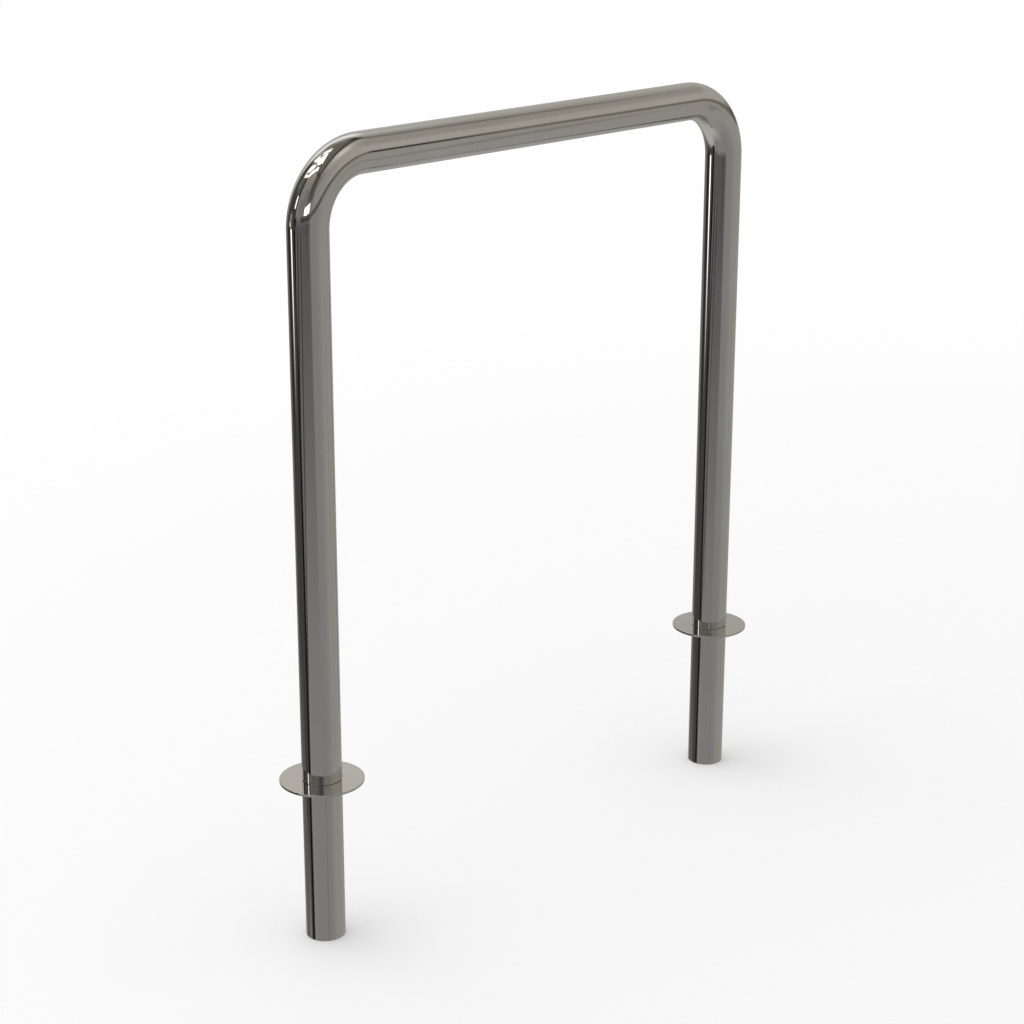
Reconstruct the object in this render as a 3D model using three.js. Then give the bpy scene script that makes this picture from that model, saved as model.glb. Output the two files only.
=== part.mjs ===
// Hoop bike rack. One stainless steel tube, bent twice, is set in the ground by both legs,
// and a loose round cover lies on the paving around each leg.
// Millimetres, +Z up. The origin is at ground level, midway between the legs.
// The hoop stands in the XZ plane: its left leg is at -X, and bicycles lean on it from both Y sides.

import * as THREE from 'three';

// Driving dimensions of the hoop
const tubeDiameter = 50; // outside diameter
const tubeWall = 2;
const legSpacing = 750; // between the centrelines of the two legs
const heightAboveGround = 796; // from the paving to the top of the bar
const buriedLength = 212; // from the paving down to the cut ends
const bendRadius = 81; // to the tube's centreline
const rimChamfer = 0.5; // left by deburring, on both rims of each cut end

// Driving dimensions of the ground covers
const coverDiameter = 106;
const coverThickness = 3;
const coverClearance = 0.75; // from the leg to the cover's hole, all round
const coverEdgeChamfer = 0.3; // on all four rims of the plate

// Facets: counts around are multiples of four, so a flat side never narrows the part along X or Y
const tubeFacets = 48;
const coverFacets = 72;
const facetsPerBend = 18;

// Derived dimensions of the tube before it is bent, measured along its centreline from the left cut end
const tubeRadius = tubeDiameter / 2;
const boreRadius = tubeRadius - tubeWall;
const quarterTurn = Math.PI / 2;
const straightLeg = buriedLength + heightAboveGround - tubeRadius - bendRadius;
const straightBar = legSpacing - 2 * bendRadius;
const bendLength = quarterTurn * bendRadius;
const leftBendStart = straightLeg;
const rightBendStart = straightLeg + bendLength + straightBar;
const tubeLength = rightBendStart + bendLength + straightLeg;

const steel = { metalness: 1, side: THREE.FrontSide };
const polishedTubeSteel = new THREE.MeshStandardMaterial({ ...steel, color: 0xc4c2be, roughness: 0.12 });
const polishedPlateSteel = new THREE.MeshStandardMaterial({ ...steel, color: 0xcbcac5, roughness: 0.16 });

// The outline of a wall between two radii and two heights, with a chamfer on each of its four corners.
// Heights given in between become rings of points on both faces, where the wall can bend.
function chamferedWall({ inner, outer, bottom, top, chamfer, ringsBetween = [] }) {
  const rings = [bottom + chamfer, ...ringsBetween, top - chamfer];
  const outline = [
    new THREE.Vector2(outer - chamfer, bottom),
    ...rings.map((height) => new THREE.Vector2(outer, height)),
    new THREE.Vector2(outer - chamfer, top),
    new THREE.Vector2(inner + chamfer, top),
    ...rings.toReversed().map((height) => new THREE.Vector2(inner, height)),
    new THREE.Vector2(inner + chamfer, bottom),
  ];
  return [...outline, outline[0].clone()];
}

// A revolved outline with its axis turned from +Y to +Z
function turned(outline, facets) {
  return new THREE.LatheGeometry(outline, facets).rotateX(quarterTurn);
}

function bendRings(bendStart) {
  return Array.from({ length: facetsPerBend + 1 }, (_, step) => bendStart + (step / facetsPerBend) * bendLength);
}

// Bends an upright tube towards +X, as a tube bender does: what lies below bendStart stays, the next stretch
// wraps a quarter turn around a former at the bend radius, and what lies beyond swings round with it, straight.
function bendTube(geometry, bendStart) {
  const points = geometry.getAttribute('position');
  const point = new THREE.Vector3();
  for (let i = 0; i < points.count; i += 1) {
    point.fromBufferAttribute(points, i);
    const beyondStart = point.z - bendStart;
    if (beyondStart <= 0) continue;
    const angle = Math.min(beyondStart / bendRadius, quarterTurn);
    const beyondBend = beyondStart - angle * bendRadius;
    const reach = bendRadius - point.x; // from the former's axis
    const x = bendRadius - reach * Math.cos(angle) + beyondBend * Math.sin(angle);
    const z = bendStart + reach * Math.sin(angle) + beyondBend * Math.cos(angle);
    points.setXYZ(i, x, point.y, z);
  }
  return geometry;
}

function makeHoopTube() {
  const outline = chamferedWall({
    inner: boreRadius,
    outer: tubeRadius,
    bottom: 0,
    top: tubeLength,
    chamfer: rimChamfer,
    ringsBetween: [...bendRings(leftBendStart), ...bendRings(rightBendStart)],
  });
  const tube = turned(outline, tubeFacets);
  // The far bend comes first, while the tube is still upright there, and the near one then swings it over
  bendTube(tube, rightBendStart);
  bendTube(tube, leftBendStart);
  tube.computeVertexNormals();
  const hoop = new THREE.Mesh(tube, polishedTubeSteel);
  hoop.name = 'hoop_tube';
  hoop.position.set(-legSpacing / 2, 0, -buriedLength);
  return hoop;
}

// A flat ring that is threaded on the leg from below before the hoop is set in its footings
function makeGroundCover(name, legX) {
  const outline = chamferedWall({
    inner: tubeRadius + coverClearance,
    outer: coverDiameter / 2,
    bottom: 0,
    top: coverThickness,
    chamfer: coverEdgeChamfer,
  });
  const cover = new THREE.Mesh(turned(outline, coverFacets), polishedPlateSteel);
  cover.name = name;
  cover.position.set(legX, 0, 0);
  return cover;
}

const bikeRack = new THREE.Group();
bikeRack.add(makeHoopTube());
bikeRack.add(makeGroundCover('left_ground_cover', -legSpacing / 2));
bikeRack.add(makeGroundCover('right_ground_cover', legSpacing / 2));

export default bikeRack;
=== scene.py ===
# %% [markdown]
# # A hoop bike rack of polished stainless steel
# The rack is one steel tube, bent twice, that stands in the ground on both of its legs. A thin round cover
# lies on the paving around each leg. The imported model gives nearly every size, so it is loaded first and
# everything is built around it, in metres, with the ground at z = 0 and the hoop in the XZ plane.

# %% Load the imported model
import math

import bpy
from mathutils import Matrix, Vector


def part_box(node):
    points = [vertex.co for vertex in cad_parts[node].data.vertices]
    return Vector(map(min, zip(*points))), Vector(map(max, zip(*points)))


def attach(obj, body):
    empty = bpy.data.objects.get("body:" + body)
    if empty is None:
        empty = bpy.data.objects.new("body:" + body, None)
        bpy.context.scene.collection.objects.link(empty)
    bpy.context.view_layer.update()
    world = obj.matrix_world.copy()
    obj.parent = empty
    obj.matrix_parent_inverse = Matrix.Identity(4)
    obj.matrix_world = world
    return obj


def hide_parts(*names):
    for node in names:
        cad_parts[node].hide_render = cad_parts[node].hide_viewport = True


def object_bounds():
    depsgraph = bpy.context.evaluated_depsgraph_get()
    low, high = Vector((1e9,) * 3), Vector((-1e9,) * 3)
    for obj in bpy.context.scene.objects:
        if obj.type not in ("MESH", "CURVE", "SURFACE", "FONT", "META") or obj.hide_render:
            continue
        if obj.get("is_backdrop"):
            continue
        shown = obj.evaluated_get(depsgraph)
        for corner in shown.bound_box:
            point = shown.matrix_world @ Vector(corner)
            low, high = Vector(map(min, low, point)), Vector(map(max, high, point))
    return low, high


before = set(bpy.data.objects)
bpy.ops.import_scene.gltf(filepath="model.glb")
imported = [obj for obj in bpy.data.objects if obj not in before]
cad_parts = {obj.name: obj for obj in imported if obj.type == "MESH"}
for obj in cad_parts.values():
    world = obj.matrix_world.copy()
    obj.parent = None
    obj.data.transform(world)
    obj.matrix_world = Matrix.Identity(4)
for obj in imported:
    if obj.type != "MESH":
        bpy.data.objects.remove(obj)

cad_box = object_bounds()
print("the packed model reaches from", *cad_box)

# %% [markdown]
# ## Sizes
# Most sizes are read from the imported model's boxes, so that the pieces drawn here can't drift away from it.
# Three can't be read from a box, because they lie inside one: the radius of the bends, the thickness of the
# tube's wall and the gap between a leg and its cover. They are written here once, and so are the two small
# roundings of edges.

# %% Sizes in metres
BEND_RADIUS = 0.081  # to the middle of the tube
TUBE_WALL = 0.002
COVER_CLEARANCE = 0.00075  # from the leg to the edge of the cover's hole
RIM_ROUNDING = 0.0005  # what deburring leaves on the tube's cut ends
COVER_ROUNDING = 0.0003  # what tumbling leaves on the cover's edges

hoop_low, hoop_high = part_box("hoop_tube")
cover_low, cover_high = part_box("left_ground_cover")
tube_diameter = hoop_high.y - hoop_low.y
leg_spacing = hoop_high.x - hoop_low.x - tube_diameter
cover_diameter = cover_high.x - cover_low.x
cover_thickness = cover_high.z - cover_low.z
ground_level = cover_low.z
print(f"the tube is {tube_diameter:.4f} thick and a cover {cover_diameter:.4f} wide")
print(f"the legs stand {leg_spacing:.4f} apart, and the top is at {hoop_high.z:.4f}")

# %% [markdown]
# ## Node trees, written as sums
# Blender's shapes and finishes are made by trees of nodes. Wiring each small sum by hand is slow to write
# and hard to read. So a small class stands for a node's output: adding or multiplying it makes the Math
# node that does so. A second class makes any other node from its type, its settings and what goes into its
# sockets.

# %% A value in a node tree
class Value:
    """A node's output. Arithmetic on it adds Math nodes to its tree."""

    def __init__(self, tree, socket):
        self.tree = tree
        self.socket = socket

    def __add__(self, other):
        return self.tree.math("ADD", self, other)

    def __sub__(self, other):
        return self.tree.math("SUBTRACT", self, other)

    def __rsub__(self, other):
        return self.tree.math("SUBTRACT", other, self)

    def __mul__(self, other):
        return self.tree.math("MULTIPLY", self, other)

    def __truediv__(self, other):
        return self.tree.math("DIVIDE", self, other)

    def __rtruediv__(self, other):
        return self.tree.math("DIVIDE", other, self)

    __radd__ = __add__
    __rmul__ = __mul__


# %% A node tree
class Tree:
    """A node tree built by calls. It names sockets by their identifiers, which are never used twice."""

    def __init__(self, nodes):
        self.nodes = nodes

    def add(self, kind, settings=None, sockets=None, output=None):
        """Makes a node, sets it up, fills its sockets, and returns its first output or the named one."""
        node = self.nodes.nodes.new(kind)
        for name, setting in (settings or {}).items():
            setattr(node, name, setting)
        into = {socket.identifier: socket for socket in node.inputs}
        for name, value in (sockets or {}).items():
            if isinstance(value, Value):
                self.nodes.links.new(value.socket, into[name])
            else:
                into[name].default_value = value
        out_of = {socket.identifier: socket for socket in node.outputs}
        if not out_of:
            return None
        return Value(self, out_of[output] if output else node.outputs[0])

    def math(self, operation, first, second=0.0):
        return self.add("ShaderNodeMath", {"operation": operation}, {"Value": first, "Value_001": second})

    def vector(self, x, y, z):
        return self.add("ShaderNodeCombineXYZ", None, {"X": x, "Y": y, "Z": z})

    def parts(self, vector):
        split = self.add("ShaderNodeSeparateXYZ", None, {"Vector": vector}).socket.node
        return [Value(self, socket) for socket in split.outputs]


# %% [markdown]
# ## A Geometry Nodes tree with named sizes
# A Geometry Nodes tree is a recipe: it takes sizes and returns a shape. Its inputs carry the names of the
# real sizes, so the recipe could be used again for another rack. A modifier on an object runs the recipe.
# Its inputs are set by their identifiers, and the result is then kept as a plain mesh, which is what other
# programs read.

# %% Open a recipe, and run one
def open_recipe(name, size_names):
    group = bpy.data.node_groups.new(name, "GeometryNodeTree")
    for size_name in size_names:
        group.interface.new_socket(size_name, in_out="INPUT", socket_type="NodeSocketFloat")
    group.interface.new_socket("Finish", in_out="INPUT", socket_type="NodeSocketMaterial")
    group.interface.new_socket("Shape", in_out="OUTPUT", socket_type="NodeSocketGeometry")
    tree = Tree(group)
    start = group.nodes.new("NodeGroupInput")
    return tree, {socket.name: Value(tree, socket) for socket in start.outputs if socket.name}


def close_recipe(tree, shape, finish):
    whole = tree.add("GeometryNodeRealizeInstances", None, {"Geometry": shape})
    finished = tree.add("GeometryNodeSetMaterial", None, {"Geometry": whole, "Material": finish})
    end = tree.nodes.nodes.new("NodeGroupOutput")
    tree.nodes.links.new(finished.socket, end.inputs["Shape"])


def run_recipe(piece_name, recipe, inputs):
    mesh = bpy.data.meshes.new(piece_name)
    mesh.materials.append(inputs["Finish"])
    piece = bpy.data.objects.new(piece_name, mesh)
    bpy.context.scene.collection.objects.link(piece)
    modifier = piece.modifiers.new("Recipe", "NODES")
    modifier.node_group = recipe.nodes
    for item in recipe.nodes.interface.items_tree:
        if item.name in inputs:
            modifier[item.identifier] = inputs[item.name]
    return piece


# %% Keep the result as a plain mesh
def keep_as_mesh(piece):
    """A recipe's mesh can bring an empty material slot, so the piece's own finish is put in its place."""
    evaluated = piece.evaluated_get(bpy.context.evaluated_depsgraph_get())
    mesh = bpy.data.meshes.new_from_object(evaluated)
    mesh.name = piece.name
    piece.modifiers.clear()
    finish = piece.data.materials[0]
    mesh.materials.clear()
    mesh.materials.append(finish)
    piece.data = mesh
    mesh.calc_loop_triangles()
    print(piece.name, len(mesh.loop_triangles), "triangles")
    return piece


# %% [markdown]
# ## The recipe of the hoop
# The real hoop starts as a straight tube, and a tube bender wraps it around a round former twice. The
# recipe does the same, because then every point still knows where it was on the straight tube, and marks of
# grinding and polishing can follow the steel round the bends.
#
# A cylinder is made first, with one unit of height for each ring of points. The rings are then moved to
# their places along the tube: close together where it will bend, and wide apart where it stays straight.

# %% Rings along the straight tube
POINTS_AROUND = 128
RINGS_PER_LEG = 36
RINGS_PER_BEND = 64
RINGS_PER_BAR = 24


def places_of_rings(tree, ring, stretches):
    """Each stretch is a number of rings and a length of tube. Rings are counted from the left cut end."""
    place, first_ring = 0.0, 0
    for rings, length in stretches:
        passed = tree.add("ShaderNodeClamp", None, {"Value": (ring - first_ring) / rings})
        place = passed * length + place
        first_ring += rings
    return place


# %% [markdown]
# One bend leaves what comes before it alone, wraps the next stretch a quarter turn around the former, and
# swings what comes after it over, still straight. The far bend is made first, while the tube is upright
# there, and the near bend then swings it over.

# %% One bend
QUARTER_TURN = math.pi / 2


def bend(tree, x, z, start, radius):
    beyond = tree.math("MAXIMUM", z - start, 0.0)
    angle = tree.math("MINIMUM", beyond / radius, QUARTER_TURN)
    straight_beyond = beyond - angle * radius
    sine, cosine = tree.math("SINE", angle), tree.math("COSINE", angle)
    from_former = radius - x
    bent_x = radius - from_former * cosine + straight_beyond * sine
    bent_z = tree.math("MINIMUM", z, start) + from_former * sine + straight_beyond * cosine
    return bent_x, bent_z


# %% The whole recipe of the hoop
def write_hoop_recipe():
    tree, size = open_recipe(
        "Bent hoop", ["Tube diameter", "Leg spacing", "Top", "Bottom", "Bend radius"]
    )
    tube_radius = size["Tube diameter"] / 2
    radius = size["Bend radius"]
    leg = size["Top"] - size["Bottom"] - tube_radius - radius
    bar = size["Leg spacing"] - radius * 2
    bent = radius * QUARTER_TURN
    stretches = [
        (RINGS_PER_LEG, leg),
        (RINGS_PER_BEND, bent),
        (RINGS_PER_BAR, bar),
        (RINGS_PER_BEND, bent),
        (RINGS_PER_LEG, leg),
    ]
    rings = sum(count for count, _ in stretches)
    cylinder = tree.add(
        "GeometryNodeMeshCylinder",
        {"fill_type": "NONE"},
        {"Vertices": POINTS_AROUND, "Side Segments": rings, "Radius": tube_radius, "Depth": float(rings)},
    )
    x, y, height = tree.parts(tree.add("GeometryNodeInputPosition"))
    place = places_of_rings(tree, height + rings / 2, stretches)
    on_tube = tree.vector(x, y, place)
    straight = tree.add(
        "GeometryNodeStoreNamedAttribute",
        {"data_type": "FLOAT_VECTOR", "domain": "POINT"},
        {"Geometry": cylinder, "Name": "before_bending", "Value": on_tube},
    )
    upright = tree.add("GeometryNodeSetPosition", None, {"Geometry": straight, "Position": on_tube})
    x, y, z = tree.parts(tree.add("GeometryNodeInputPosition"))
    x, z = bend(tree, x, z, leg + bent + bar, radius)
    x, z = bend(tree, x, z, leg, radius)
    standing = tree.vector(x - size["Leg spacing"] / 2, y, z + size["Bottom"])
    hoop = tree.add("GeometryNodeSetPosition", None, {"Geometry": upright, "Position": standing})
    smooth = tree.add("GeometryNodeSetShadeSmooth", None, {"Geometry": hoop, "Shade Smooth": True})
    close_recipe(tree, smooth, size["Finish"])
    return tree


hoop_recipe = write_hoop_recipe()
print("the hoop's recipe has", len(hoop_recipe.nodes.nodes), "nodes")

# %% [markdown]
# ## The recipe of a ground cover
# A cover is a flat ring of plate, loose on its leg. A flat bar's section, swept round a circle, gives it.

# %% The recipe of a cover
POINTS_ROUND_COVER = 192


def write_cover_recipe():
    tree, size = open_recipe("Flat ring", ["Leg", "Hole radius", "Rim radius", "Underside", "Thickness"])
    width = size["Rim radius"] - size["Hole radius"]
    middle = tree.add(
        "GeometryNodeCurvePrimitiveCircle",
        {"mode": "RADIUS"},
        {"Resolution": POINTS_ROUND_COVER, "Radius": (size["Rim radius"] + size["Hole radius"]) / 2},
    )
    section = tree.add(
        "GeometryNodeCurvePrimitiveQuadrilateral",
        {"mode": "RECTANGLE"},
        {"Width": width, "Height": size["Thickness"]},
    )
    ring = tree.add("GeometryNodeCurveToMesh", None, {"Curve": middle, "Profile Curve": section})
    place = tree.vector(size["Leg"], 0.0, size["Underside"] + size["Thickness"] / 2)
    cover = tree.add("GeometryNodeTransform", None, {"Geometry": ring, "Translation": place})
    smooth = tree.add("GeometryNodeSetShadeSmooth", None, {"Geometry": cover, "Shade Smooth": True})
    close_recipe(tree, smooth, size["Finish"])
    return tree


cover_recipe = write_cover_recipe()
print("the cover's recipe has", len(cover_recipe.nodes.nodes), "nodes")

# %% [markdown]
# ## Polished stainless steel
# Polished steel is a metal with a low roughness: nearly all that the eye sees is what it mirrors. A perfect
# mirror looks like a drawing, though. Real polish keeps traces of the work: hairlines from the last grit, a
# few smudges from hands, and a surface that swells and dips by hundredths of a millimetre. Each trace is a
# pattern here, and it changes the roughness, the colour or the relief of the surface a little. An image
# could show them too, but it would blur close by and would need a map of the whole tube. A computed pattern
# stays sharp and needs no map.

# %% Patterns that the finish is made of
def spread(tree, place, x, y, z):
    """Scales a place's three lengths, so that a round pattern becomes a long one."""
    lengths = {"Vector": place, "Vector_001": (x, y, z)}
    return tree.add("ShaderNodeVectorMath", {"operation": "MULTIPLY"}, lengths, "Vector")


def cloud(tree, place, per_metre, detail=2.0):
    sockets = {"Vector": place, "Scale": per_metre, "Detail": detail}
    return tree.add("ShaderNodeTexNoise", None, sockets, "Fac")


def rise(tree, value, low, high):
    """0 up to low, 1 from high on, and a smooth rise between them."""
    limits = {"Value": value, "From Min": low, "From Max": high}
    return tree.add("ShaderNodeMapRange", {"interpolation_type": "SMOOTHSTEP"}, limits)


def fall(tree, value, low, high):
    return 1 - rise(tree, value, low, high)


def mixed(tree, share, first, second):
    colours = {"Factor_Float": share, "A_Color": first, "B_Color": second}
    return tree.add("ShaderNodeMix", {"data_type": "RGBA"}, colours, "Result_Color")


def in_place(tree):
    return tree.add("ShaderNodeTexCoord", None, None, "Object")


# %% [markdown]
# ### The finish that both pieces share
# Roughness runs from 0, a mirror, to 1, chalk. The polish starts close to a mirror, and each trace adds its
# own small share to it. The steel's colour drifts a little between cool and warm, as it does where the
# buffing wheel ran hotter. The relief is given in metres, so that its depths can be compared with real
# ones.

# %% How much of each trace there is
# Roughness of the clean polish, and what each trace adds to it
POLISHED = 0.035
SMUDGED = 0.08  # where hands and weather have been
HAIRLINED = 0.015  # left by the last grit
SCUFFED = 0.07
UNPOLISHED = 0.3

# Relief in metres
HAIRLINE_DEPTH = 0.000004
SWELL_DEPTH = 0.00002

# How often a pattern changes in a metre
HAIRLINES_PER_METRE = 3000.0
SMUDGES_PER_METRE = 14.0
SMUDGE_GRAIN_PER_METRE = 90.0
SWELLS_PER_METRE = 45.0
WARMTH_PER_METRE = 6.0

# The level of a pattern at which its trace starts to show, and the one at which it shows fully
SMUDGE_RANGE = (0.46, 0.7)
GROOVE_RANGE = (0.45, 0.8)
WARMTH_RANGE = (0.35, 0.65)

# What each trace does to the steel's colour
WARMER = (1.0, 0.985, 0.955)
PALER = (1.12, 1.12, 1.12)
DULLER = (0.8, 0.8, 0.8)
SMUDGES_PALE = 0.5
SCUFFS_PALE = 0.4
print(f"the clean polish has a roughness of {POLISHED}, and unpolished steel {POLISHED + UNPOLISHED:.3f}")

# %% The finish
def opaque(colour, level=(1.0, 1.0, 1.0)):
    return (*(part * share for part, share in zip(colour, level)), 1.0)


def polished_steel(name, colour, pattern):
    material = bpy.data.materials.new(name)
    material.use_nodes = True
    material.node_tree.nodes.clear()
    tree = Tree(material.node_tree)
    place, hairlines, dents, scuffs, unpolished = pattern(tree)
    smudged = rise(tree, cloud(tree, place, SMUDGES_PER_METRE, detail=4.0), *SMUDGE_RANGE)
    smudges = smudged * cloud(tree, place, SMUDGE_GRAIN_PER_METRE, detail=3.0)
    grooves = rise(tree, hairlines, *GROOVE_RANGE)
    roughness = POLISHED + smudges * SMUDGED + grooves * HAIRLINED
    roughness = roughness + scuffs * SCUFFED + unpolished * UNPOLISHED
    warmth = rise(tree, cloud(tree, place, WARMTH_PER_METRE), *WARMTH_RANGE)
    clean = mixed(tree, warmth, opaque(colour), opaque(colour, WARMER))
    marked = mixed(tree, smudges * SMUDGES_PALE + scuffs * SCUFFS_PALE, clean, opaque(colour, PALER))
    tone = mixed(tree, unpolished, marked, opaque(colour, DULLER))
    relief = hairlines * HAIRLINE_DEPTH + cloud(tree, place, SWELLS_PER_METRE) * SWELL_DEPTH + dents
    slope = tree.add("ShaderNodeBump", None, {"Strength": 1.0, "Distance": 1.0, "Height": relief}, "Normal")
    sockets = {"Base Color": tone, "Metallic": 1.0, "Roughness": roughness, "Normal": slope}
    shader = tree.add("ShaderNodeBsdfPrincipled", None, sockets)
    tree.add("ShaderNodeOutputMaterial", None, {"Surface": shader})
    print(name, "has", len(material.node_tree.nodes), "nodes")
    return material


# %% [markdown]
# ### What is special to the tube
# The tube was ground and buffed while it was still straight, turning on its length, so its hairlines run
# round it, in the bends too. They are read from the place before bending. Bending stretches the steel and
# roughens it like orange peel, which makes mirrored edges ragged there. The covers have scuffed the legs a
# little just above the ground. The sawn ends and the bore were never polished.

# %% Where the tube's marks are
TUBE_COLOUR = (0.55, 0.54, 0.515)
ROUND_THE_TUBE = (0.01, 0.01, 1.0)  # stretches a pattern round the tube
ALONG_THE_TUBE = (1.0, 1.0, 0.03)
PEEL_DEPTH = 0.00005
PEEL_PER_METRE = 160.0
BEND_BLUR = 0.01  # how far the marks of bending fade out along the tube
SCRATCHES_PER_METRE = 900.0
SCRATCH_RANGE = (0.58, 0.7)
SCUFFS_START = (-0.001, 0.004)  # heights above the ground between which the covers' marks set in
SCUFFS_END = (0.01, 0.05)  # and between which they fade out
SAWN_DEPTH = 0.0006
WALL_SHARES = (0.3, 0.7)  # the shares of the wall's thickness between which the bore's look ends

tube_radius = tube_diameter / 2
bore_radius = tube_radius - TUBE_WALL
bend_bottom = hoop_high.z - tube_radius - BEND_RADIUS
half_bar = leg_spacing / 2 - BEND_RADIUS
bend_end = half_bar + BEND_RADIUS * QUARTER_TURN
half_tube = bend_bottom - hoop_low.z + bend_end
print(f"the tube was {2 * half_tube:.3f} long before it was bent")


# %% The tube's patterns
def from_leg(tree, position):
    """How far a point is from the nearest leg's centreline, seen from above."""
    x, y, _ = tree.parts(position)
    across = tree.math("ABSOLUTE", x) - leg_spacing / 2
    return tree.math("SQRT", across * across + y * y)


def tube_pattern(tree):
    straight = tree.add("ShaderNodeAttribute", {"attribute_name": "before_bending"}, None, "Vector")
    hairlines = cloud(tree, spread(tree, straight, *ROUND_THE_TUBE), HAIRLINES_PER_METRE)
    from_middle = tree.math("ABSOLUTE", tree.parts(straight)[2] - half_tube)
    past_bar = rise(tree, from_middle, half_bar - BEND_BLUR, half_bar + BEND_BLUR)
    bent = past_bar * fall(tree, from_middle, bend_end - BEND_BLUR, bend_end + BEND_BLUR)
    dents = bent * cloud(tree, straight, PEEL_PER_METRE, detail=1.0) * PEEL_DEPTH
    position = in_place(tree)
    height = tree.parts(position)[2]
    above = height - ground_level
    near_cover = rise(tree, above, *SCUFFS_START) * fall(tree, above, *SCUFFS_END)
    scratched = cloud(tree, spread(tree, straight, *ALONG_THE_TUBE), SCRATCHES_PER_METRE)
    scratches = rise(tree, scratched, *SCRATCH_RANGE)
    inner, outer = (bore_radius + share * TUBE_WALL for share in WALL_SHARES)
    in_bore = fall(tree, from_leg(tree, position), inner, outer)
    bore = in_bore * fall(tree, height, bend_bottom - BEND_BLUR, bend_bottom)
    sawn = fall(tree, height, hoop_low.z, hoop_low.z + SAWN_DEPTH)
    return straight, hairlines, dents, near_cover * scratches, tree.math("MAXIMUM", bore, sawn)


tube_steel = polished_steel("polished_tube", TUBE_COLOUR, tube_pattern)

# %% [markdown]
# ### What is special to the covers
# A cover is cut from sheet and spun against a buffing wheel, so its hairlines are rings around the leg. It
# is a little brighter than the tube. The cut edge stays duller than the face, and the leg scuffs the edge
# of the hole.

# %% The covers' patterns
PLATE_COLOUR = (0.6, 0.588, 0.56)
EDGE_WEAR = 0.0012  # how far the dull edge reaches over the face
HOLE_SCUFFS = 3 * EDGE_WEAR  # how far the leg's marks reach from the hole
WEAR_PER_METRE = 300.0
EDGE_DULLING = 0.5
hole_radius = tube_radius + COVER_CLEARANCE


def cover_pattern(tree):
    position = in_place(tree)
    ring = from_leg(tree, position)
    hairlines = cloud(tree, tree.vector(ring, 0.0, 0.0), HAIRLINES_PER_METRE)
    worn = cloud(tree, position, WEAR_PER_METRE)
    hole = fall(tree, ring, hole_radius, hole_radius + HOLE_SCUFFS)
    rim = rise(tree, ring, cover_diameter / 2 - EDGE_WEAR, cover_diameter / 2)
    return position, hairlines, 0.0, hole * worn, rim * worn * EDGE_DULLING


plate_steel = polished_steel("polished_plate", PLATE_COLOUR, cover_pattern)

# %% [markdown]
# ## The hoop
# The recipe gives the tube's outer skin. A Solidify modifier lays the wall on the inside of it, which also
# closes both cut ends with a flat ring, and a Bevel modifier rounds the rims as deburring does. A bevel
# bends the shading of the flat faces beside it, so a last modifier weights the shading by the faces' areas
# and keeps them flat.

# %% Round the edges of a piece
STEPS_PER_ROUNDING = 3
SHARP = math.radians(40)  # edges that turn by more than this are rounded
FULL_WEIGHT = 100


def round_edges(piece, width):
    rounding = piece.modifiers.new("Deburred edges", "BEVEL")
    rounding.width = width
    rounding.segments = STEPS_PER_ROUNDING
    rounding.limit_method = "ANGLE"
    rounding.angle_limit = SHARP
    flat = piece.modifiers.new("Flat faces stay flat", "WEIGHTED_NORMAL")
    flat.weight = FULL_WEIGHT
    return piece


# %% Make the hoop
hoop = run_recipe(
    "hoop",
    hoop_recipe,
    {
        "Tube diameter": tube_diameter,
        "Leg spacing": leg_spacing,
        "Top": hoop_high.z,
        "Bottom": hoop_low.z,
        "Bend radius": BEND_RADIUS,
        "Finish": tube_steel,
    },
)
wall = hoop.modifiers.new("Wall", "SOLIDIFY")
wall.thickness = TUBE_WALL
wall.offset = -1
wall.use_even_offset = True
hoop = keep_as_mesh(round_edges(hoop, RIM_ROUNDING))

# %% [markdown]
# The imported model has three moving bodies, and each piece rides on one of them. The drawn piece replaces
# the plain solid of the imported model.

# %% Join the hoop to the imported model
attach(hoop, "hoop")
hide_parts("hoop_tube")

# %% [markdown]
# ## The ground covers
# Both covers are the same plate, so one loop makes them. Each is loose on its leg and slides up it, which
# is why each rides on a body of its own.

# %% Make the covers
for side, direction in (("left", -1), ("right", 1)):
    cover = run_recipe(
        f"{side}_cover",
        cover_recipe,
        {
            "Leg": direction * leg_spacing / 2,
            "Hole radius": hole_radius,
            "Rim radius": cover_diameter / 2,
            "Underside": ground_level,
            "Thickness": cover_thickness,
            "Finish": plate_steel,
        },
    )
    cover = keep_as_mesh(round_edges(cover, COVER_ROUNDING))
    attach(cover, f"{side}_cover")
    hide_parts(f"{side}_ground_cover")

# %% [markdown]
# ## The studio
# The photograph shows the rack on white, with nothing around it. A floor of pale paper carries its soft
# shadow. Paper lit from all sides looks a little grey, so it gets a small lift where the camera looks
# straight at it, and a larger one far away, where it meets the white background. The light on the rack
# doesn't change by that.
#
# The paper is hidden from the steel. The mirrored ground is made by cards further down, because in the
# photograph the steel mirrors a room, and its dark lines run on down to the cut ends of the legs.

# %% Things on the stage
def flat_material(name, shader):
    material = bpy.data.materials.new(name)
    material.use_nodes = True
    material.node_tree.nodes.clear()
    tree = Tree(material.node_tree)
    tree.add("ShaderNodeOutputMaterial", None, {"Surface": shader(tree)})
    return material


def add_to_stage(name, points, faces, material):
    mesh = bpy.data.meshes.new(name)
    mesh.from_pydata(points, [], faces)
    mesh.materials.append(material)
    thing = bpy.data.objects.new(name, mesh)
    bpy.context.scene.collection.objects.link(thing)
    thing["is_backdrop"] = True
    return thing


# %% The floor
WHITE = (1.0, 1.0, 1.0, 1.0)
PAPER = (0.9, 0.9, 0.9, 1.0)
NEAR, FAR = 0.5, 6.0
LIFT_NEAR, LIFT_FAR = 0.06, 0.22
FLOOR_REACH = 40.0  # far enough that its edge is never seen


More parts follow.
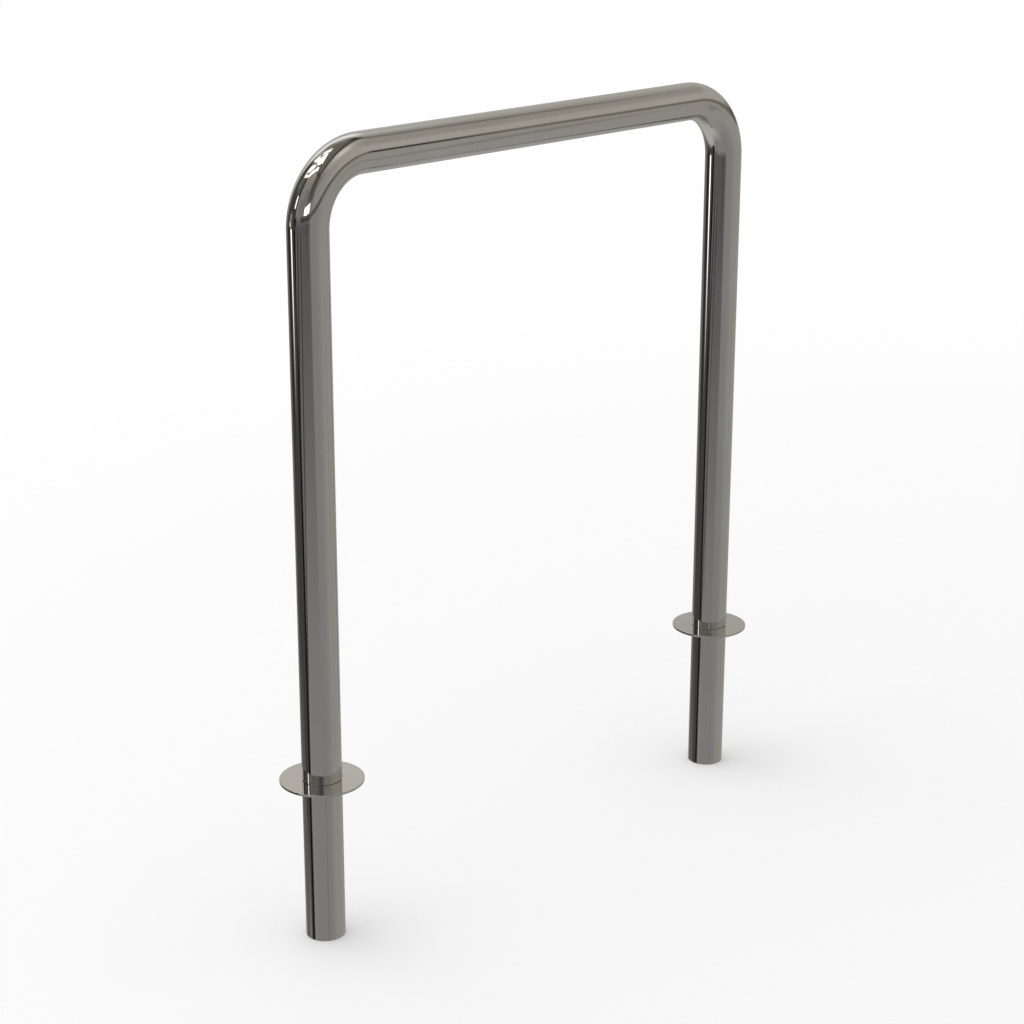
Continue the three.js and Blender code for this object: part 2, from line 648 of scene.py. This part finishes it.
def paper_shader(tree):
    paper = tree.add("ShaderNodeBsdfDiffuse", None, {"Color": PAPER})
    x, y, _ = tree.parts(in_place(tree))
    far_share = rise(tree, tree.math("SQRT", x * x + y * y), NEAR, FAR)
    seen = tree.add("ShaderNodeLightPath", None, None, "Is Camera Ray")
    strength = seen * (far_share * (LIFT_FAR - LIFT_NEAR) + LIFT_NEAR)
    lift = tree.add("ShaderNodeEmission", None, {"Color": WHITE, "Strength": strength})
    return tree.add("ShaderNodeAddShader", None, {"Shader": paper, "Shader_001": lift})


floor_corners = [
    (x * FLOOR_REACH, y * FLOOR_REACH, hoop_low.z)
    for x, y in ((-1, -1), (1, -1), (1, 1), (-1, 1))
]
floor = add_to_stage("floor", floor_corners, [(0, 1, 2, 3)], flat_material("pale_paper", paper_shader))
floor.visible_glossy = False
print(f"the floor lies under the cut ends, at {hoop_low.z:.3f}")

# %% [markdown]
# The world is plain white, at full strength where the camera, a mirror or glass looks at it. As a light it
# is a little weaker, because a lamp overhead adds its share, and together they light a surface at about the
# level at which its colour renders as written.

# %% The world
AMBIENT = 0.86
world = bpy.data.worlds.new("studio")
bpy.context.scene.world = world
world.use_nodes = True
world.node_tree.nodes.clear()
tree = Tree(world.node_tree)
path = {socket.name: Value(tree, socket) for socket in tree.add("ShaderNodeLightPath").socket.node.outputs}
seen = tree.math("MAXIMUM", path["Is Camera Ray"], path["Is Glossy Ray"])
seen = tree.math("MAXIMUM", seen, path["Is Transmission Ray"])
white = tree.add("ShaderNodeBackground", None, {"Color": WHITE, "Strength": seen * (1 - AMBIENT) + AMBIENT})
tree.add("ShaderNodeOutputWorld", None, {"Surface": white})
print(f"the world lights the rack at {AMBIENT} and looks white")

# %% The lamp overhead
LAMP_PLACE = Vector((-1.2, 1.2, 5.5))
LAMP_AIM = Vector((0.0, 0.0, 0.2))
LAMP_SIZE = (4.0, 3.0)
LAMP_WATTS = 60
lamp = bpy.data.lights.new("overhead", "AREA")
lamp.shape = "RECTANGLE"
lamp.size, lamp.size_y = LAMP_SIZE
lamp.energy = LAMP_WATTS
lamp_object = bpy.data.objects.new("overhead", lamp)
lamp_object.location = LAMP_PLACE
lamp_object.rotation_euler = (LAMP_AIM - LAMP_PLACE).to_track_quat("-Z", "Y").to_euler()
lamp_object.visible_glossy = False
bpy.context.scene.collection.objects.link(lamp_object)
print(f"the lamp gives {lamp.energy:.0f} W over {lamp.size * lamp.size_y:.0f} square metres")

# %% [markdown]
# ## What the steel mirrors
# A mirror has no look of its own: the dark and light lines on the rack are the room around it. A
# photographer who wants such lines puts grey, black and white cards around the object, and so does this
# scene. The cards stand so far away that every part of the rack sees them in the same direction. So a
# card's place can be given by two angles, and it can be worked out from the photograph: the camera, the
# slope of the tube at a line and the rule of the mirror give the direction in which the room must be dark
# or light.
#
# A card is a patch of a large sphere, with four corners. Walls are laid out by azimuth and elevation in
# degrees, as on a map whose azimuth grows to the right: 0 looks along +X and 90 along +Y. A leaning card is
# a wall whose corners are given one by one, in the order low left, low right, high right, high left.
# Ceilings are laid out in that order too, by x and y on a flat plane one unit overhead. Only mirroring rays
# see the cards, so they give no light and cast no shadow.

# %% The shape of a card
CARD_DISTANCE = 30.0
CARD_GAP = 0.2  # a later card stands this much nearer, in front of the earlier ones
CARD_STEPS = 16


def on_wall(azimuth, elevation):
    azimuth, elevation = math.radians(azimuth), math.radians(elevation)
    level = math.cos(elevation)
    return Vector((level * math.cos(azimuth), level * math.sin(azimuth), math.sin(elevation)))


def on_ceiling(x, y):
    return Vector((x, y, 1)).normalized()


def wall_card(left, right, low, high):
    return on_wall, ((left, low), (right, low), (right, high), (left, high))


def leaning_card(*corners):
    return on_wall, corners


def ceiling_card(*corners):
    return on_ceiling, corners


def between(first, second, share):
    return [a + (b - a) * share for a, b in zip(first, second)]


def card_points(aim, corners, reach):
    """Rows of points from the low edge up, and for each its shares along the card and up it."""
    low_left, low_right, high_right, high_left = corners
    shares = [step / CARD_STEPS for step in range(CARD_STEPS + 1)]
    grid = [(along, up) for up in shares for along in shares]
    points = []
    for along, up in grid:
        spot = between(between(low_left, low_right, along), between(high_left, high_right, along), up)
        points.append(aim(*spot) * reach)
    return points, grid


# %% [markdown]
# A card's edges are hard or fade out. How strongly each point shows is kept with the mesh as an attribute,
# and the card's material mixes between its glow and nothing by it.

# %% The glow of a card
def edge_share(share, fade):
    share = min(1.0, share / fade) if fade else 1.0
    return share * share * (3 - 2 * share)


def card_strength(along, up, fades):
    left, right, low, high = fades
    across = edge_share(along, left) * edge_share(1 - along, right)
    upwards = edge_share(up, low) * edge_share(1 - up, high)
    return across * upwards


def glow_shader(tone):
    def shader(tree):
        glow = tree.add("ShaderNodeEmission", None, {"Color": (*tone, 1), "Strength": 1.0})
        clear = tree.add("ShaderNodeBsdfTransparent")
        strength = tree.add("ShaderNodeAttribute", {"attribute_name": "strength"}, None, "Fac")
        return tree.add("ShaderNodeMixShader", None, {"Fac": strength, "Shader": clear, "Shader_001": glow})

    return shader


# %% Make a card
def mirror_card(name, shape, tone, fades, reach):
    aim, corners = shape
    points, grid = card_points(aim, corners, reach)
    row = CARD_STEPS + 1
    starts = [y * row + x for y in range(CARD_STEPS) for x in range(CARD_STEPS)]
    faces = [(start, start + 1, start + row + 1, start + row) for start in starts]
    card = add_to_stage(name, points, faces, flat_material(name, glow_shader(tone)))
    card.data.polygons.foreach_set("use_smooth", [True] * len(faces))
    strengths = [card_strength(along, up, fades) for along, up in grid]
    card.data.attributes.new("strength", "FLOAT", "POINT").data.foreach_set("value", strengths)
    card.data.materials[0].cycles.emission_sampling = "NONE"
    card.visible_camera = card.visible_diffuse = card.visible_shadow = False


# %% [markdown]
# ### The room
# The ground is mid grey: darker to the left and in front, warmer to the right, and paler behind the rack
# and straight down. The sky is a lighter grey, with bright cloud overhead and behind the rack, and a dim
# stretch in front of it. A dim skirting runs a few degrees above the horizon, and the bar mirrors it as the
# dark line along its middle.
#
# Each card has a shape, a tone, and the share of it that fades at its left, right, low and high edge. A
# later card stands in front of the earlier ones, so the large cards come first.

# %% Cards for the room
def grey(level):
    return (level, level, level)


HARD = (0, 0, 0, 0)
SOFT = (0.4, 0.4, 0.4, 0.4)
GROUND = (0.44, 0.438, 0.432)
ROOM = [
    ("ground_near", wall_card(0, 180, -90, 3), GROUND, HARD),
    ("ground_far", wall_card(180, 360, -90, 3), GROUND, HARD),
    ("sky_near", wall_card(0, 180, 3, 90), (0.6, 0.587, 0.565), HARD),
    ("sky_far", wall_card(180, 360, 3, 90), (0.59, 0.567, 0.528), HARD),
    (
        "bright_cloud",
        ceiling_card((-0.15, -0.28), (0.55, -0.2), (0.55, -0.95), (-0.15, -0.95)),
        (0.95, 0.925, 0.905),
        (0.45, 0.45, 0.45, 0.45),
    ),
    ("distant_trees", wall_card(354, 407, 3, 31), (0.52, 0.507, 0.475), (0.1, 0.25, 0, 0.3)),
    (
        "bright_sky",
        leaning_card((15, 38.5), (70, 29), (70, 60), (15, 59.5)),
        grey(1.4),
        (0.6, 0.3, 0.5, 0.35),
    ),
    ("low_sky", leaning_card((52, 27), (97, 12), (97, 46), (52, 61)), grey(1.3), (0.35, 0.3, 0.5, 0.35)),
    ("cover_sky", wall_card(44, 55, 19.5, 30), (0.69, 0.676, 0.65), SOFT),
    ("dim_top", leaning_card((56, 56), (94, 44), (94, 66), (56, 70)), grey(0.24), (0.5, 0.3, 0.4, 0.3)),
    ("ground_shade", wall_card(150, 310, -75, 8), (0.352, 0.35, 0.357), (0.2, 0.3, 0.5, 0.1)),
    ("warm_floor", wall_card(298, 345, -62, 3), (0.459, 0.446, 0.424), (0.2, 0.3, 0.3, 0.1)),
    ("bright_floor", wall_card(0, 174, -88, -28), (0.67, 0.665, 0.655), (0.5, 0.2, 0, 0.2)),
    ("pale_paving", wall_card(130, 262, -90, -46), grey(0.64), (0.15, 0.5, 0, 0.9)),
    ("skirting", wall_card(175, 306, 2.2, 13.8), grey(0.135), (0.1, 0.1, 0.3, 0.4)),
    ("warm_skirting", wall_card(290, 375, -0.5, 14), (0.235, 0.208, 0.172), (0.1, 0.1, 0.35, 0.5)),
    ("haze", wall_card(300, 398, 26, 60), (0.46, 0.443, 0.412), (0.25, 0.4, 0.35, 0.45)),
    ("dim_sky", wall_card(225, 306, 8, 48), (0.43, 0.42, 0.41), (0, 0.6, 0.1, 0.3)),
]
print(len(ROOM), "cards for the room")

# %% [markdown]
# ### Dark things
# A dark room stands behind the rack on the left, from the floor to the ceiling, and gives both legs their
# dark band. Inside it a few things are lighter, such as a table top and a strip of ceiling. Black posts end
# it in the thin lines beside that band, with narrow glints between them. Beams overhead give the bar's
# upper line and the dark arc on the left bend, and a warm wall and a curtain on the left show above the
# bright square on that bend.

# %% Cards for dark things
GLOOM = (0.083, 0.081, 0.076)
DARK = [
    ("dark_socket", wall_card(309.5, 314.3, 2, 10), grey(0.04), (0.3, 0.15, 0.35, 0.35)),
    ("dark_door", wall_card(350, 376, -1, 8), grey(0.08), (0.4, 0.2, 0.3, 0.3)),
    ("lamp_post", wall_card(315, 322, -34, -5), (0.352, 0.343, 0.33), (0.45, 0.45, 0.3, 0.3)),
    (
        "beams",
        ceiling_card((0.8, -0.03), (-0.6, -0.75), (-0.7, 0.2), (0.4, 0.58)),
        (0.216, 0.204, 0.184),
        (0.3, 0.1, 0.08, 0.15),
    ),
    (
        "beam_end",
        ceiling_card((0.45, -0.2), (1.2, -0.3), (1.2, 0.05), (0.45, 0.3)),
        (0.3, 0.289, 0.262),
        (0.3, 0.3, 0.4, 0.4),
    ),
    (
        "long_beam",
        ceiling_card((0.59, -0.13), (-1.04, -1.29), (-1.22, -1.03), (0.41, 0.13)),
        (0.12, 0.112, 0.1),
        (0.1, 0.1, 0.4, 0.4),
    ),
    (
        "corner",
        ceiling_card((0.3, -0.22), (0.8, -0.15), (0.66, 0.2), (0.28, 0.42)),
        (0.05, 0.046, 0.034),
        SOFT,
    ),
    ("side_wall", wall_card(58, 104, -31, 3), grey(0.22), (0.35, 0.1, 0.15, 0.3)),
    ("dark_room", wall_card(90.5, 161, -31, 60), GLOOM, (0.13, 0.04, 0.05, 0.15)),
    ("dark_low", wall_card(140, 167, -31, 11), GLOOM, (0.1, 0.2, 0.05, 0.3)),
    ("lit_ceiling", wall_card(112, 147, 21, 46), grey(0.19), (0.2, 0.3, 0.3, 0.2)),
    ("room_depth", wall_card(99, 123, -17, -3), grey(0.035), (0.2, 0.3, 0.25, 0.3)),
    ("table_top", wall_card(117, 136, -1, 8), grey(0.4), (0.25, 0.25, 0.25, 0.3)),
    ("room_corner", wall_card(92, 131, -31, -20), grey(0.17), (0.1, 0.3, 0.2, 0.5)),
    ("room_high", wall_card(157, 249, -7, 58), (0.27, 0.27, 0.272), (0.1, 0.25, 0.4, 0.25)),
    ("lit_wall", wall_card(158, 196, 24, 47), grey(0.36), (0.15, 0.5, 0.3, 0.2)),
    ("dark_wall", wall_card(203, 238, 16, 56), grey(0.12), (0.4, 0.25, 0.3, 0.2)),
    ("room_low", wall_card(157, 241, -24.8, 14), (0.15, 0.15, 0.158), (0, 0.08, 0.45, 0.45)),
    ("window_sill", wall_card(186, 236, 2.5, 9.6), grey(0.09), (0.1, 0.1, 0.3, 0.2)),
    (
        "beam_shade",
        ceiling_card((-0.05, -1.15), (-1.0, -1.85), (-1.1, -1.3), (-0.15, -0.62)),
        (0.3, 0.29, 0.272),
        (0.4, 0.3, 0.7, 0.3),
    ),
    (
        "beam_shadow",
        ceiling_card((-0.68, -0.2), (-0.42, -0.2), (-0.5, -0.95), (-0.75, -0.95)),
        (0.105, 0.092, 0.075),
        (0.3, 0.3, 0.25, 0.4),
    ),
    (
        "warm_wall",
        ceiling_card((-1.35, 0.55), (-0.85, 0.55), (-0.8, -0.55), (-1.3, -0.65)),
        (0.4, 0.388, 0.318),
        (0.4, 0.4, 0.35, 0.4),
    ),
    (
        "curtain",
        ceiling_card((-1.02, 0.5), (-0.62, 0.5), (-0.56, -0.6), (-0.96, -0.6)),
        (0.44, 0.385, 0.32),
        (0.45, 0.35, 0.3, 0.45),
    ),
    ("dark_post", wall_card(149, 161, -36, 0), grey(0.005), (0.25, 0.2, 0.1, 0.2)),
    ("post_foot", wall_card(143, 164, -38, -28), grey(0.02), (0.15, 0.2, 0.15, 0.1)),
    ("post_top", wall_card(147.5, 171, -3, 10), grey(0.025), (0.2, 0.5, 0.25, 0.45)),
    (
        "post_glint",
        leaning_card((143, -13.6), (153, -13.6), (174, -8.5), (164, -8.5)),
        grey(0.22),
        (0.35, 0.35, 0.8, 0.2),
    ),
    (
        "second_post",
        leaning_card((152, -16), (161, -16), (182, -8), (173, -8)),
        grey(0.045),
        (0.35, 0.35, 0.3, 0.1),
    ),
    (
        "second_glint",
        leaning_card((159, -19), (167, -19), (189, -8.2), (181, -8.2)),
        grey(0.23),
        (0.4, 0.4, 0.4, 0.2),
    ),
    (
        "third_post",
        leaning_card((154.5, -24.5), (164, -24.5), (196, -8.2), (187, -8.2)),
        grey(0.06),
        (0.4, 0.4, 0.2, 0.1),
    ),
    ("dark_edge", wall_card(213, 230, -10.2, 3.5), grey(0.115), (0.5, 0.5, 0.1, 0.3)),
    ("thin_post_left", wall_card(163, 169, -60, -20), grey(0.27), (0.5, 0.5, 0.3, 0.3)),
    ("thin_post_right", wall_card(240, 254, -60, -18), grey(0.29), (0.5, 0.5, 0.3, 0.3)),
]
print(len(DARK), "cards for dark things")

# %% [markdown]
# ### Windows and lamps
# All of these but the low patch are stronger than white, so that they stay white after the steel has taken
# its share. The windows are the bright square low on the left bend and the white streaks on both legs. The
# lamps on the ceiling are the bright panes along the outside of the left bend.

# %% Cards for windows and lamps
BRIGHT = [
    ("window", leaning_card((203, 11), (228, 11), (226.5, 20.6), (203, 19.2)), grey(3.5), HARD),
    ("small_window", wall_card(142, 149, 15, 27), grey(2.4), HARD),
    ("low_window", wall_card(127, 136.5, -14.6, -5), grey(3.2), (0.2, 0.2, 0.75, 0)),
    ("low_patch", wall_card(115, 134, -5, 0.5), grey(0.9), (0.3, 0.3, 0.3, 0.2)),
    ("lamp_strip", ceiling_card((-0.5, -0.16), (-0.44, -0.04), (-0.7, 0.48), (-0.79, 0.42)), grey(3.5), HARD),
    ("lamp_end", ceiling_card((-0.78, 0.5), (-0.67, 0.55), (-0.6, 0.95), (-0.72, 1.0)), grey(2.5), HARD),
    ("lamp_far", ceiling_card((-0.59, 0.5), (-0.43, 0.22), (-0.39, 0.66), (-0.57, 1.0)), grey(2.5), HARD),
    ("lamp_near", ceiling_card((-0.42, 0.12), (-0.33, -0.1), (-0.1, 0.12), (-0.31, 0.45)), grey(3.5), HARD),
    ("lamp_top", ceiling_card((-0.34, 0.5), (-0.21, 0.4), (-0.12, 0.62), (-0.21, 0.92)), grey(1.8), HARD),
    ("lamp_side", ceiling_card((-0.17, 0.36), (-0.05, 0.13), (0.05, 0.21), (-0.06, 0.5)), grey(2.2), HARD),
]
print(len(BRIGHT), "cards for windows and lamps")

# %% Put up all the cards
cards = ROOM + DARK + BRIGHT
for order, (name, shape, tone, fades) in enumerate(cards):
    mirror_card(name, shape, tone, fades, CARD_DISTANCE - CARD_GAP * order)
print(len(cards), "cards stand around the rack")

# %% [markdown]
# ## The camera
# The photograph doesn't say where its camera stood. It was found by moving a camera, together with the
# hoop's proportions, until the outlines of the tube, the covers and the cut ends fell on those in the
# photograph, to a fraction of a pixel. It looks down by 18 degrees, from the left front, through a long
# lens.

# %% The camera
AZIMUTH, ELEVATION, ROLL = math.radians(-45.6667), math.radians(18.2293), math.radians(0.117)
CAMERA_PLACE = Vector((-2.07134, -1.98637, 1.20753))
SENSOR_WIDTH = 36  # millimetres, as is the next
FOCAL_LENGTH = 80.559
level = math.cos(ELEVATION)
back = Vector((math.sin(AZIMUTH) * level, -math.cos(AZIMUTH) * level, math.sin(ELEVATION)))
right = Vector((0, 0, 1)).cross(back).normalized()
up = back.cross(right)
rolled_right = right * math.cos(ROLL) + up * math.sin(ROLL)
rolled_up = up * math.cos(ROLL) - right * math.sin(ROLL)
camera = bpy.data.cameras.new("camera")
camera.sensor_width = SENSOR_WIDTH
camera.lens = FOCAL_LENGTH
camera_object = bpy.data.objects.new("camera", camera)
turn = Matrix((rolled_right, rolled_up, back)).transposed().to_4x4()
camera_object.matrix_world = Matrix.Translation(CAMERA_PLACE) @ turn
bpy.context.scene.collection.objects.link(camera_object)
bpy.context.scene.camera = camera_object
bpy.context.scene.view_settings.view_transform = "Standard"
print(f"the camera stands {CAMERA_PLACE.length:.2f} m from the rack's origin")

# %% [markdown]
# ## Check the size
# The drawn rack must be as large as the imported model. Both boxes are kept, and the greatest difference
# between them is printed.

# %% Keep both boxes
drawn_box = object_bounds()
apart = max(abs(a - b) for cad, drawn in zip(cad_box, drawn_box) for a, b in zip(cad, drawn))
print(f"the boxes differ by at most {apart * 1000:.4f} mm")
